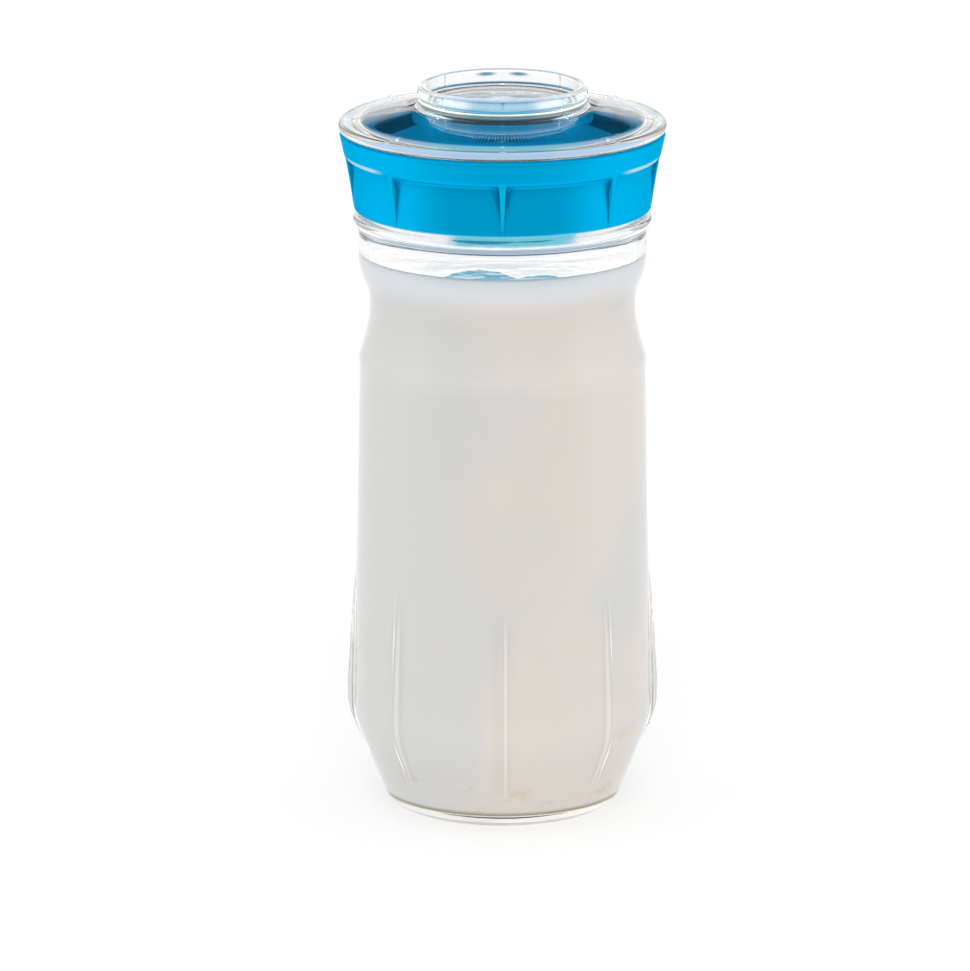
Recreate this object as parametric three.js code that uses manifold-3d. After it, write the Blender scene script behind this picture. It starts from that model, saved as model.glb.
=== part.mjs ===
// A kefir making jar: a ribbed glass jar with its kefir, a screw-on strainer lid and a clear screw-on cover,
// each of the two with a silicone seal. Millimetres, +Z up, -Y to the front. The origin lies on the table,
// under the middle of the jar.

import * as THREE from 'three';
import { mergeVertices } from 'three/addons/utils/BufferGeometryUtils.js';
import Module from 'manifold-3d';

// Glass jar
const FOOT_RADIUS = 29.5; // outer edge of the flat ring that the jar stands on
const FOOT_WIDTH = 4.5; // width of that ring
const PUSH_UP = 2.2; // rise of the underside within the ring
const PUSH_UP_RUN = 4; // radial run of the slope up to it
const HEEL_HEIGHT = 4.4; // rounded heel, from the table to the lower cone
const HEEL_RADIUS = 36.6;
const CONE_HEIGHT = 23.3; // lower cone, from the heel to the belly
const BELLY_RADIUS = 45.8; // widest radius of the body between its ribs
const BELLY_ROUND = 4; // reach of the rounding between cone and body
const BODY_HEIGHT = 113; // from the belly to the soft edge under the shoulder
const BODY_TOP_RADIUS = 43.7;
const EDGE_PROUD = 0.4; // how far the soft edge stands out of the body
const EDGE_HEIGHT = 3;
const SHOULDER_HEIGHT = 16.8; // from the soft edge to the waist
const WAIST_RADIUS = 40.5;
const NECK_FLARE_HEIGHT = 16; // from the waist to the straight neck
const NECK_RADIUS = 43.9;
const NECK_HEIGHT = 7.6; // straight neck under the bead
const BEAD_HEIGHT = 4.6;
const BEAD_PROUD = 1.6;
const FINISH_HEIGHT = 17.3; // from the bead to the rim, covered by the lid
const FINISH_RADIUS = 41.8;
const MOUTH_WALL = 3.8; // glass around the mouth
const RIM_ROUND = 1.2;
const GLASS_WALL = 3.2;
const FLOOR_THICKNESS = 5.6;
const FLOOR_ROUND = 4; // rounding between the floor and the wall inside

// Ribs of the glass, which swell over the belly and fade out both ways
const RIB_COUNT = 8; // the glass, the lid and the cover share this count
const GLASS_RIB_HEIGHT = 2.3;
const GLASS_RIB_WIDTH = 2.4;
const GLASS_RIB_LIFT = 7.3; // highest point of a rib, above the belly
const GLASS_RIB_RISE = 31; // from there up to where a rib fades out
const GLASS_RIB_FALL = 26; // from there down to where it fades out
const GLASS_RIB_RISE_POWER = 0.65; // fading upwards: under 1 a rib starts abruptly, over 1 softly
const GLASS_RIB_FALL_POWER = 1.2; // fading downwards

// Kefir
const KEFIR_RISE = 0.6; // level of the kefir above the foot of the straight neck

// Seals
const FIT_GAP = 0.3; // clearance where one piece rests on or fits in another
const JAR_SEAL_THICKNESS = 1.6;
const COVER_SEAL_THICKNESS = 1.3;

// Strainer lid
const SKIRT_CLEARANCE = 1.6; // gap between the bead of the glass and the foot of the skirt
const THREAD_ROOM = 1.5; // radial room for the thread between glass and skirt
const SKIRT_WALL = 2;
const SKIRT_EDGE = 1; // rounded lower edge of the skirt
const LAND_INSET = 1.6; // the land that presses on the seal starts this far outside the mouth
const WEB_WALL = 2.2; // plastic between the land and the channel above it
const CHANNEL_DEPTH = 3.6; // channel in the top that takes the skirt of the cover
const CHANNEL_STEP = 0.3; // how far the channel starts inside the wall of the skirt
const CHANNEL_WIDTH = 3; // at the floor of the channel
const CHANNEL_LEAN = 1.4; // how far the outer wall of the channel leans out
const SHOULDER_WALL = 2; // wall beside the floor of the channel
const FLARE_WALL = 2.3; // wall at the top of the channel
const FLARE_HEIGHT = 6; // flared band, from the top of the lid down to its shoulder
const FLARE_EDGE = 0.7; // rounded top edge of the band
const UNDERCUT_HEIGHT = 3.5; // hollow curve from the shoulder down to the skirt
const DOME_GAP = 2.2; // between the strainer dome and the cover over it
const DOME_WALL = 2.2;
const CROWN_RADIUS = 26; // flat crown in the middle of the dome

// Gusset ribs of the strainer lid
const GUSSET_DROP = 1.5; // top of a gusset below the top of the lid
const GUSSET_FOOT = 0.75; // how far a gusset stands out at the foot of the skirt
const GUSSET_TOP_WIDTH = 3;
const GUSSET_FOOT_WIDTH = 1.3;
const RIB_ROOT = 1; // depth that a rib reaches into the wall behind it

// Strainer openings
const SLOT_WIDTH = 0.9;
const SLOT_COUNT = 19; // slots in each of the two combs, front and back
const SLOT_SPREAD = 78 * THREE.MathUtils.DEG2RAD; // angle from the first slot of a comb to its last
const SLOT_INNER_RADIUS = 28;
const SLOT_LENGTH = 6;
const WINDOW_INNER_RADIUS = 27.5;
const WINDOW_OUTER_RADIUS = 38.8;
const WINDOW_ANGLE = 54 * THREE.MathUtils.DEG2RAD; // each of the two windows' share of the turn

// Fluted boss on the crown of the strainer
const BOSS_RADIUS = 9.2;
const BOSS_CLEARANCE = 0.8; // between the boss and the floor of the cup over it
const BOSS_TOP_RADIUS = 8.7;
const FLUTE_COUNT = 24;
const FLUTE_DEPTH = 0.5;

// Clear cover
const COVER_WALL = 2.2;
const COVER_SKIRT_GAP = 0.5; // between the skirt of the cover and the channel's inner wall
const COVER_SKIRT_WALL = 1.8;
const RIM_PROUD = 0.2; // how far the rim of the cover stands out over the lid
const RIM_HEIGHT = 3.2;
const RIM_EDGE = 0.9;
const RIM_WIDTH = 2.8; // rim, from its outside to the foot of the deck
const RIM_STEP = 0.5; // drop from the rim to the foot of the deck
const DECK_RISE = 4.6; // sloping deck, from the rim to the cup
const CUP_FOOT_RADIUS = 28.2;
const CUP_FOOT_ROUND = 2;
const CUP_RADIUS = 25.7;
const CUP_HEIGHT = 6.8; // rim of the cup above the deck
const CUP_WALL = 3.3;
const CUP_EDGE = 1.4;
const CUP_DEPTH = 4.9;
const CUP_FLOOR_WALL = 1.8;
const CUP_FLOOR_RADIUS = 20.5;
const LUG_HEIGHT = 0.5; // short lugs where the deck meets the rim
const LUG_WIDTH = 1.2;
const LUG_LENGTH = 4.5;

// Fineness of the facets
const TURN_SIDES = 48;
const FLUTE_SIDES = 2; // sides for each flute
const CURVE_STEPS = 3; // chords in each curve of a profile
const RIB_STEPS = 9; // chords along the back of a rib of the glass
const MERGE_DISTANCE = 1e-4;
const QUARTER_TURN = Math.PI / 2;
const FULL_TURN = Math.PI * 2;

// Levels of the jar, from the table up
const bellyLevel = HEEL_HEIGHT + CONE_HEIGHT;
const edgeLevel = bellyLevel + BODY_HEIGHT;
const waistLevel = edgeLevel + SHOULDER_HEIGHT;
const neckLevel = waistLevel + NECK_FLARE_HEIGHT;
const beadLevel = neckLevel + NECK_HEIGHT;
const finishLevel = beadLevel + BEAD_HEIGHT;
const rimLevel = finishLevel + FINISH_HEIGHT;
const kefirLevel = neckLevel + KEFIR_RISE;
const mouthRadius = FINISH_RADIUS - MOUTH_WALL;

// Levels and radii of the strainer lid
const jarSealLevel = rimLevel + FIT_GAP;
const landLevel = jarSealLevel + JAR_SEAL_THICKNESS + FIT_GAP;
const channelLevel = landLevel + WEB_WALL;
const lidTopLevel = channelLevel + CHANNEL_DEPTH;
const shoulderLevel = lidTopLevel - FLARE_HEIGHT;
const undercutLevel = shoulderLevel - UNDERCUT_HEIGHT;
const skirtFootLevel = finishLevel + SKIRT_CLEARANCE;
const skirtInside = FINISH_RADIUS + THREAD_ROOM;
const skirtOutside = skirtInside + SKIRT_WALL;
const landInside = mouthRadius + LAND_INSET;
const channelInside = skirtInside - CHANNEL_STEP;
const channelOutside = channelInside + CHANNEL_WIDTH;
const channelMouth = channelOutside + CHANNEL_LEAN;
const shoulderRadius = channelOutside + SHOULDER_WALL;
const flareRadius = channelMouth + FLARE_WALL;

// Levels and radii of the cover
const coverSealLevel = channelLevel + FIT_GAP;
const coverSkirtLevel = coverSealLevel + COVER_SEAL_THICKNESS + FIT_GAP;
const coverSkirtInside = channelInside + COVER_SKIRT_GAP;
const coverSkirtOutside = coverSkirtInside + COVER_SKIRT_WALL;
const coverRimLevel = lidTopLevel + FIT_GAP;
const coverRimTop = coverRimLevel + RIM_HEIGHT;
const coverRadius = flareRadius + RIM_PROUD;
const deckRadius = coverRadius - RIM_WIDTH;
const deckLevel = coverRimTop - RIM_STEP;
const cupFootLevel = deckLevel + DECK_RISE;
const cupTopLevel = cupFootLevel + CUP_HEIGHT;
const cupFloorLevel = cupTopLevel - CUP_DEPTH;
const cupUndersideLevel = cupFloorLevel - CUP_FLOOR_WALL;
const bossTopLevel = cupUndersideLevel - BOSS_CLEARANCE;

const wasm = await Module();
wasm.setup();

// Point of a profile, as a radius and a height
function at(radius, height) {
  return new THREE.Vector2(radius, height);
}

// Closed body from a geometry, with its shared corners merged
function bodyOf(geometry) {
  geometry.deleteAttribute('normal');
  geometry.deleteAttribute('uv');
  const merged = mergeVertices(geometry, MERGE_DISTANCE);
  const corners = merged.index.array;
  const triangles = [];
  for (let i = 0; i < corners.length; i += 3) {
    const [a, b, c] = corners.slice(i, i + 3);
    if (a !== b && b !== c && c !== a) triangles.push(a, b, c);
  }
  const vertProperties = new Float32Array(merged.attributes.position.array);
  const triVerts = new Uint32Array(triangles);
  return new wasm.Manifold(new wasm.Mesh({ numProp: 3, vertProperties, triVerts }));
}

// Geometry turned about Z from a profile of points
function lathe(profile, sides) {
  return new THREE.LatheGeometry(profile, sides).rotateX(QUARTER_TURN);
}

// Body turned about Z from a profile of points
function turned(profile) {
  return bodyOf(lathe(profile, TURN_SIDES));
}

// Upright fin from its outline in radius and height; widthAt gives its width at a height
function fin(outline, widthAt) {
  const geometry = new THREE.ExtrudeGeometry(new THREE.Shape(outline), { depth: 1, bevelEnabled: false });
  geometry.rotateX(QUARTER_TURN);
  const position = geometry.attributes.position;
  for (let i = 0; i < position.count; i += 1) {
    const side = position.getY(i) + 0.5;
    position.setY(i, side * widthAt(position.getZ(i)));
  }
  return bodyOf(geometry);
}

// Body joined with copies of a rib, spread evenly round Z
function withRibs(body, rib) {
  const degrees = THREE.MathUtils.radToDeg(FULL_TURN / RIB_COUNT);
  let joined = body;
  for (let i = 0; i < RIB_COUNT; i += 1) joined = joined.add(rib.rotate([0, 0, i * degrees]));
  return joined;
}

// Named mesh of a body
function piece(name, body, material) {
  const { numProp, vertProperties, triVerts } = body.getMesh();
  const geometry = new THREE.BufferGeometry();
  geometry.setAttribute('position', new THREE.BufferAttribute(vertProperties, numProp));
  geometry.setIndex(new THREE.BufferAttribute(triVerts, 1));
  geometry.computeVertexNormals();
  const mesh = new THREE.Mesh(geometry, material);
  mesh.name = name;
  return mesh;
}

// Outside of the glass from the heel to the bead
function barrel() {
  const path = new THREE.Path();
  const coneSlope = (BELLY_RADIUS - HEEL_RADIUS) / CONE_HEIGHT;
  const bodySlope = (BODY_TOP_RADIUS - BELLY_RADIUS) / BODY_HEIGHT;
  const edgeRadius = BODY_TOP_RADIUS + EDGE_PROUD;
  path.moveTo(HEEL_RADIUS, HEEL_HEIGHT);
  path.lineTo(BELLY_RADIUS - coneSlope * BELLY_ROUND, bellyLevel - BELLY_ROUND);
  path.quadraticCurveTo(
    BELLY_RADIUS, bellyLevel,
    BELLY_RADIUS + bodySlope * BELLY_ROUND, bellyLevel + BELLY_ROUND,
  );
  path.lineTo(BODY_TOP_RADIUS, edgeLevel - EDGE_HEIGHT);
  path.lineTo(edgeRadius, edgeLevel);
  path.bezierCurveTo(
    edgeRadius - (edgeRadius - WAIST_RADIUS) / 2, edgeLevel + SHOULDER_HEIGHT / 3,
    WAIST_RADIUS, waistLevel - SHOULDER_HEIGHT / 3,
    WAIST_RADIUS, waistLevel,
  );
  path.bezierCurveTo(
    WAIST_RADIUS, waistLevel + NECK_FLARE_HEIGHT / 2,
    NECK_RADIUS, waistLevel + NECK_FLARE_HEIGHT / 2,
    NECK_RADIUS, neckLevel,
  );
  path.lineTo(NECK_RADIUS, beadLevel);
  return path.getPoints(CURVE_STEPS);
}

// Radius of a rising line of points at a height
function radiusAt(line, height) {
  const next = line.findIndex((point) => point.y >= height);
  const [low, high] = [line[next - 1], line[next]];
  return THREE.MathUtils.mapLinear(height, low.y, high.y, low.x, high.x);
}

// Stretch of a rising line of points between two heights
function stretch(line, low, high) {
  const inner = line.filter((point) => point.y > low && point.y < high);
  return [at(radiusAt(line, low), low), ...inner, at(radiusAt(line, high), high)];
}

// Inside of the glass from the middle of its floor to a height, drawn in by a gap
function hollow(top, gap) {
  const floor = FLOOR_THICKNESS + gap;
  const inside = barrel().map((point) => at(point.x - GLASS_WALL - gap, point.y));
  const wall = stretch(inside, floor + FLOOR_ROUND, top);
  const corner = new THREE.QuadraticBezierCurve(
    at(radiusAt(inside, floor + FLOOR_ROUND) - FLOOR_ROUND, floor),
    at(radiusAt(inside, floor), floor),
    wall[0],
  );
  return [at(0, floor), ...corner.getPoints(CURVE_STEPS), ...wall.slice(1)];
}

// Rib of the glass: it follows the outside and swells over the belly
function glassRib() {
  const outside = barrel();
  const peak = bellyLevel + GLASS_RIB_LIFT;
  const low = Math.max(peak - GLASS_RIB_FALL, HEEL_HEIGHT);
  const high = peak + GLASS_RIB_RISE;
  const back = [];
  const root = [];
  for (let i = 0; i <= RIB_STEPS; i += 1) {
    const height = THREE.MathUtils.lerp(low, high, i / RIB_STEPS);
    const rising = height > peak;
    const reach = rising ? high - peak : peak - low;
    const power = rising ? GLASS_RIB_RISE_POWER : GLASS_RIB_FALL_POWER;
    const swell = (1 - Math.abs(height - peak) / reach) ** power;
    const radius = radiusAt(outside, height);
    back.push(at(radius + GLASS_RIB_HEIGHT * swell, height));
    root.unshift(at(radius - RIB_ROOT, height));
  }
  return fin([...back, ...root], () => GLASS_RIB_WIDTH);
}

function glassJar() {
  const coneSlope = (BELLY_RADIUS - HEEL_RADIUS) / CONE_HEIGHT;
  const footInside = FOOT_RADIUS - FOOT_WIDTH;
  const heel = new THREE.QuadraticBezierCurve(
    at(FOOT_RADIUS, 0),
    at(HEEL_RADIUS - coneSlope * HEEL_HEIGHT, 0),
    at(HEEL_RADIUS, HEEL_HEIGHT),
  );
  const beadRadius = NECK_RADIUS + BEAD_PROUD;
  const beadMiddle = beadLevel + BEAD_HEIGHT / 2;
  const bead = new THREE.Path();
  bead.moveTo(NECK_RADIUS, beadLevel);
  bead.quadraticCurveTo(beadRadius, beadLevel, beadRadius, beadMiddle);
  bead.quadraticCurveTo(beadRadius, finishLevel, FINISH_RADIUS, finishLevel);
  const rim = new THREE.Path();
  rim.moveTo(FINISH_RADIUS, rimLevel - RIM_ROUND);
  rim.quadraticCurveTo(FINISH_RADIUS, rimLevel, FINISH_RADIUS - RIM_ROUND, rimLevel);
  rim.lineTo(mouthRadius + RIM_ROUND, rimLevel);
  rim.quadraticCurveTo(mouthRadius, rimLevel, mouthRadius, rimLevel - RIM_ROUND);
  rim.lineTo(mouthRadius, finishLevel);
  const profile = [
    at(0, PUSH_UP),
    at(footInside - PUSH_UP_RUN, PUSH_UP),
    at(footInside, 0),
    ...heel.getPoints(CURVE_STEPS),
    ...barrel().slice(1, -1),
    ...bead.getPoints(CURVE_STEPS),
    ...rim.getPoints(CURVE_STEPS),
    ...hollow(beadLevel, 0).reverse(),
  ];
  return withRibs(turned(profile), glassRib());
}

function kefir() {
  return turned([...hollow(kefirLevel, FIT_GAP), at(0, kefirLevel)]);
}

// Flat ring between two radii
function ring(inside, outside, level, thickness) {
  return turned([
    at(inside, level),
    at(outside, level),
    at(outside, level + thickness),
    at(inside, level + thickness),
    at(inside, level),
  ]);
}

// Height of the cover's sloping deck at a radius, and of the strainer dome that lies under it
function deckAt(radius) {
  return THREE.MathUtils.mapLinear(radius, deckRadius, CUP_FOOT_RADIUS, deckLevel, cupFootLevel);
}

function domeAt(radius) {
  return deckAt(Math.max(radius, CROWN_RADIUS)) - COVER_WALL - DOME_GAP;
}

// Thin rib under the flared band of the lid, running out at the foot of the skirt
function gusset() {
  const top = lidTopLevel - GUSSET_DROP;
  const foot = skirtFootLevel + SKIRT_EDGE;
  const outline = [
    at(skirtOutside - RIB_ROOT, foot),
    at(skirtOutside + GUSSET_FOOT, foot),
    at(flareRadius, top),
    at(flareRadius - RIB_ROOT, top),
    at(shoulderRadius - RIB_ROOT, shoulderLevel),
    at(skirtOutside - RIB_ROOT, undercutLevel),
  ];
  const width = (height) =>
    THREE.MathUtils.mapLinear(height, foot, top, GUSSET_FOOT_WIDTH, GUSSET_TOP_WIDTH);
  return fin(outline, width);
}

// Comb of radial slots at the front and the open window at the right, as a body to cut away
function strainerCut() {
  const low = landLevel;
  const depth = bossTopLevel - landLevel;
  const cuts = [];
  for (let i = 0; i < SLOT_COUNT; i += 1) {
    const angle = SLOT_SPREAD * (i / (SLOT_COUNT - 1) - 0.5) - QUARTER_TURN;
    const slot = new THREE.BoxGeometry(SLOT_LENGTH, SLOT_WIDTH, depth);
    slot.translate(SLOT_INNER_RADIUS + SLOT_LENGTH / 2, 0, low + depth / 2);
    cuts.push(bodyOf(slot.rotateZ(angle)));
  }
  const edge = WINDOW_ANGLE / 2;
  const shape = new THREE.Shape();
  shape.absarc(0, 0, WINDOW_OUTER_RADIUS, -edge, edge, false);
  shape.absarc(0, 0, WINDOW_INNER_RADIUS, edge, -edge, true);
  const window = new THREE.ExtrudeGeometry(shape, { depth, bevelEnabled: false, curveSegments: CURVE_STEPS });
  cuts.push(bodyOf(window.translate(0, 0, low)));
  return cuts.reduce((joined, cut) => joined.add(cut));
}

// Fluted boss in the middle of the strainer
function boss() {
  const foot = domeAt(0) - DOME_WALL / 2;
  const profile = [
    at(0, foot),
    at(BOSS_RADIUS, foot),
    at(BOSS_RADIUS, domeAt(0)),
    at(BOSS_TOP_RADIUS, bossTopLevel),
    at(0, bossTopLevel),
  ];
  const geometry = lathe(profile, FLUTE_COUNT * FLUTE_SIDES);
  const position = geometry.attributes.position;
  for (let i = 0; i < position.count; i += 1) {
    const turn = Math.atan2(position.getY(i), position.getX(i));
    const hollowing = FLUTE_DEPTH * (0.5 - 0.5 * Math.cos(FLUTE_COUNT * turn));
    const drawnIn = 1 - hollowing / BOSS_RADIUS;
    position.setXY(i, position.getX(i) * drawnIn, position.getY(i) * drawnIn);
  }
  return bodyOf(geometry);
}

function strainerLid() {
  const undercut = new THREE.CubicBezierCurve(
    at(skirtOutside, undercutLevel),
    at(skirtOutside, undercutLevel + UNDERCUT_HEIGHT / 2),
    at(shoulderRadius, undercutLevel + UNDERCUT_HEIGHT / 2),
    at(shoulderRadius, shoulderLevel),
  );
  const profile = [
    at(0, domeAt(0) - DOME_WALL),
    at(CROWN_RADIUS, domeAt(CROWN_RADIUS) - DOME_WALL),
    at(landInside, domeAt(landInside) - DOME_WALL),
    at(landInside, landLevel),
    at(skirtInside, landLevel),
    at(skirtInside, skirtFootLevel),
    at(skirtOutside - SKIRT_EDGE, skirtFootLevel),
    at(skirtOutside, skirtFootLevel + SKIRT_EDGE),
    ...undercut.getPoints(CURVE_STEPS),
    at(flareRadius, lidTopLevel - FLARE_EDGE),
    at(flareRadius - FLARE_EDGE, lidTopLevel),
    at(channelMouth, lidTopLevel),
    at(channelOutside, channelLevel),
    at(channelInside, channelLevel),
    at(channelInside, domeAt(channelInside)),
    at(CROWN_RADIUS, domeAt(CROWN_RADIUS)),
    at(0, domeAt(0)),
  ];
  const shell = withRibs(turned(profile), gusset());
  const halfTurn = [0, 0, THREE.MathUtils.radToDeg(Math.PI)];
  const cut = strainerCut();
  return shell.subtract(cut).subtract(cut.rotate(halfTurn)).add(boss());
}

// Short lug on the edge of the cover's deck, running out into the rim
function lug() {
  const outer = coverRadius - RIM_WIDTH / 2;
  const inner = outer - LUG_LENGTH;
  const outline = [
    at(inner, deckAt(inner) - COVER_WALL / 2),
    at(outer, deckLevel - COVER_WALL / 2),
    at(outer, coverRimTop + LUG_HEIGHT / 2),
    at(inner, deckAt(inner) + LUG_HEIGHT),
  ];
  return fin(outline, () => LUG_WIDTH);
}

function clearCover() {
  const cupInside = CUP_RADIUS - CUP_WALL;
  const cupFoot = new THREE.QuadraticBezierCurve(
    at(CUP_FOOT_RADIUS, cupFootLevel),
    at(CUP_RADIUS, cupFootLevel),
    at(CUP_RADIUS, cupFootLevel + CUP_FOOT_ROUND),
  );
  const cupFloor = new THREE.QuadraticBezierCurve(
    at(cupInside, cupTopLevel - CUP_EDGE / 2),
    at(cupInside, cupFloorLevel),
    at(CUP_FLOOR_RADIUS, cupFloorLevel),
  );
  const profile = [
    at(0, cupUndersideLevel),
    at(CUP_FLOOR_RADIUS, cupUndersideLevel),
    at(CUP_FOOT_RADIUS, cupFootLevel - COVER_WALL),
    at(coverSkirtInside, deckAt(coverSkirtInside) - COVER_WALL),
    at(coverSkirtInside, coverSkirtLevel),
    at(coverSkirtOutside, coverSkirtLevel),
    at(coverSkirtOutside, coverRimLevel),
    at(coverRadius - RIM_EDGE / 2, coverRimLevel),
    at(coverRadius, coverRimLevel + RIM_EDGE / 2),
    at(coverRadius, coverRimTop - RIM_EDGE),
    at(coverRadius - RIM_EDGE, coverRimTop),
    at(coverRadius - RIM_WIDTH / 2, coverRimTop),
    at(deckRadius, deckLevel),
    ...cupFoot.getPoints(CURVE_STEPS),
    at(CUP_RADIUS, cupTopLevel - CUP_EDGE),
    at(CUP_RADIUS - CUP_EDGE, cupTopLevel),
    ...cupFloor.getPoints(CURVE_STEPS),
    at(0, cupFloorLevel),
  ];
  return withRibs(turned(profile), lug());
}

const clearGlass = new THREE.MeshStandardMaterial({
  color: 0xdfe6e6, roughness: 0.05, metalness: 0, transparent: true, opacity: 0.35,
});
const milkWhite = new THREE.MeshStandardMaterial({ color: 0xdedcda, roughness: 0.5, metalness: 0 });
const clearSilicone = new THREE.MeshStandardMaterial({ color: 0xe4e7e8, roughness: 0.6, metalness: 0 });
const bluePlastic = new THREE.MeshStandardMaterial({ color: 0x0097cc, roughness: 0.25, metalness: 0 });
const clearPlastic = new THREE.MeshStandardMaterial({
  color: 0xe9eff2, roughness: 0.08, metalness: 0, transparent: true, opacity: 0.35,
});

const jarSeal = ring(landInside, skirtInside - FIT_GAP, jarSealLevel, JAR_SEAL_THICKNESS);
const coverSeal = ring(coverSkirtInside, channelOutside - FIT_GAP, coverSealLevel, COVER_SEAL_THICKNESS);

const jar = new THREE.Group();
jar.add(
  piece('glass_jar', glassJar(), clearGlass),
  piece('kefir', kefir(), milkWhite),
  piece('jar_seal', jarSeal, clearSilicone),
  piece('strainer_lid', strainerLid(), bluePlastic),
  piece('cover_seal', coverSeal, clearSilicone),
  piece('clear_cover', clearCover(), clearPlastic),
);

export default jar;
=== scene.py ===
# %% [markdown]
# # A kefir making jar
# This lesson dresses the solids of a kefir jar in Blender: a pressed glass jar with its fill, a blue
# strainer lid that screws on to it, a clear cover that screws on to the lid, and the two silicone rings
# that seal them. The solids come first, as a fixed frame, and every new mesh is made in that frame and
# rides on one of its bodies.

# %% Load the frame
import math

import bmesh
import bpy
from mathutils import Matrix
from mathutils.geometry import interpolate_bezier


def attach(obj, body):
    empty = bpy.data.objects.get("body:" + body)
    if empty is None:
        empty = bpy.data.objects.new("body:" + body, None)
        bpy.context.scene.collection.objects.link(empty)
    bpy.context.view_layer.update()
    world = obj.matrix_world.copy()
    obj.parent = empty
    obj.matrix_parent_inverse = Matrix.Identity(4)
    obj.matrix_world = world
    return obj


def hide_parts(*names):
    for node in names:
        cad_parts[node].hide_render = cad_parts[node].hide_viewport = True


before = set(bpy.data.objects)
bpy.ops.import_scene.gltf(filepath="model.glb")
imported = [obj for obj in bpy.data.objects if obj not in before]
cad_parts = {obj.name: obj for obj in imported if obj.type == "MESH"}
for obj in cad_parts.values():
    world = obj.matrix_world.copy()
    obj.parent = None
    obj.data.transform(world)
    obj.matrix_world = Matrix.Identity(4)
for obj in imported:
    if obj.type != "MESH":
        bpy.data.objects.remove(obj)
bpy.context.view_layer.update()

# %% [markdown]
# ## Round pieces from a wire
# Everything on this jar is round, so each piece starts as half of its cross-section: a wire through a few
# corners, given as radius and height in millimetres. A third number rounds a corner, and a vertex bevel
# does that on the wire, where it costs nothing. One could also model the round piece and bevel its edges,
# but a wire is easier to read.

# %% Wires with rounded corners
MM = 0.001
ROUND_STEPS = 7


def wire(*corners, closed=False):
    """A wire through corners of (radius, height) or (radius, height, rounding)."""
    bm = bmesh.new()
    verts = [bm.verts.new((corner[0], 0, corner[1])) for corner in corners]
    for pair in zip(verts, verts[1:] + verts[:1] * closed):
        bm.edges.new(pair)
    for vert, corner in zip(verts, corners):
        if len(corner) == 3:
            bmesh.ops.bevel(
                bm, geom=[vert], offset=corner[2], offset_type="OFFSET", segments=ROUND_STEPS,
                profile=0.5, affect="VERTICES", material=-1,
            )
    return bm


def rows(bm, pitch, low=(-1, -1), high=(1000, 1000)):
    """Cut the wire's edges to the pitch where their middle lies between two (radius, height) corners."""
    for edge in bm.edges[:]:
        middle = (edge.verts[0].co + edge.verts[1].co) / 2
        inside = low[0] <= middle.x <= high[0] and low[1] <= middle.z <= high[1]
        cuts = int(edge.calc_length() / pitch)
        if inside and cuts:
            bmesh.ops.subdivide_edges(bm, edges=[edge], cuts=cuts)


print("a rounded corner has", ROUND_STEPS, "steps")

# %% [markdown]
# ## One eighth, eight times
# The glass, the lid and the cover each carry eight ribs, so a wire is spun through one eighth of a turn
# only. The sector is then copied round and its seams are welded, which is much quicker than a full spin.
# Before that, the columns are drawn together at the ribs, where the shape needs them, and left wide
# between.

# %% Spin a sector and copy it round
RIBS = 8
SECTOR = math.tau / RIBS
WELD = 0.0005


def turned(bm, columns, draw=0.0):
    """Spin the wire to a sector, draw its columns to the ribs by a share, copy it round and weld."""
    bmesh.ops.spin(
        bm, geom=bm.verts[:] + bm.edges[:], cent=(0, 0, 0), axis=(0, 0, 1), angle=SECTOR, steps=columns,
    )
    for vert in bm.verts:
        turn = math.atan2(vert.co.y, vert.co.x)
        vert.co.rotate(Matrix.Rotation(-draw * math.sin(RIBS * turn) / RIBS, 3, "Z"))
    sector = bm.verts[:] + bm.edges[:] + bm.faces[:]
    for i in range(1, RIBS):
        copy = bmesh.ops.duplicate(bm, geom=sector)["geom"]
        verts = [part for part in copy if isinstance(part, bmesh.types.BMVert)]
        bmesh.ops.rotate(bm, verts=verts, cent=(0, 0, 0), matrix=Matrix.Rotation(i * SECTOR, 3, "Z"))
    bmesh.ops.remove_doubles(bm, verts=bm.verts, dist=WELD)
    bmesh.ops.recalc_face_normals(bm, faces=bm.faces)
    return bm


print("a sector spans", math.degrees(SECTOR), "degrees")

# %% [markdown]
# A few small sums say where a point lies: how far along a soft step, how far from the nearest rib, how far
# from the axis, and which way its surface faces. The ribs, threads and lugs are all made by moving points
# of a spun mesh with them.

# %% Sums on points
def ease(start, end, value):
    """0 at start, 1 at end and beyond, with a soft curve between them."""
    share = min(1.0, max(0.0, (value - start) / (end - start)))
    return share * share * (3 - 2 * share)


def radius_of(point):
    """Distance of a point from the axis."""
    return math.hypot(point.x, point.y)


def off_rib(point):
    """Sideways distance of a point from the middle of the nearest rib."""
    turn = math.atan2(point.y, point.x)
    off = (turn + SECTOR / 2) % SECTOR - SECTOR / 2
    return abs(radius_of(point) * math.sin(off))


def outwards(vert):
    """How far a vertex's normal points away from the axis, from -1 to 1."""
    reach = radius_of(vert.co) or 1.0
    return (vert.normal.x * vert.co.x + vert.normal.y * vert.co.y) / reach


def widen(vert, amount):
    """Move a vertex away from the axis."""
    share = 1 + amount / radius_of(vert.co)
    vert.co.x *= share
    vert.co.y *= share


print("half way along a soft step:", ease(0, 1, 0.5))

# %% [markdown]
# A finished mesh is scaled to metres and goes into an object at the origin, which rides on a body of the
# frame and stands for one of its nodes. All shapes here are rounded, so all faces are shaded smooth.

# %% Finish a piece
def finished(bm, name, body, node, finish):
    """An object from a mesh in millimetres, in its place in the frame."""
    bmesh.ops.scale(bm, vec=(MM, MM, MM), verts=bm.verts)
    mesh = bpy.data.meshes.new(name)
    bm.to_mesh(mesh)
    bm.free()
    mesh.shade_smooth()
    mesh.materials.append(finish)
    obj = bpy.data.objects.new(name, mesh)
    bpy.context.scene.collection.objects.link(obj)
    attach(obj, body)
    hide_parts(node)
    print(name, "has", len(mesh.polygons), "faces")
    return obj


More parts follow.
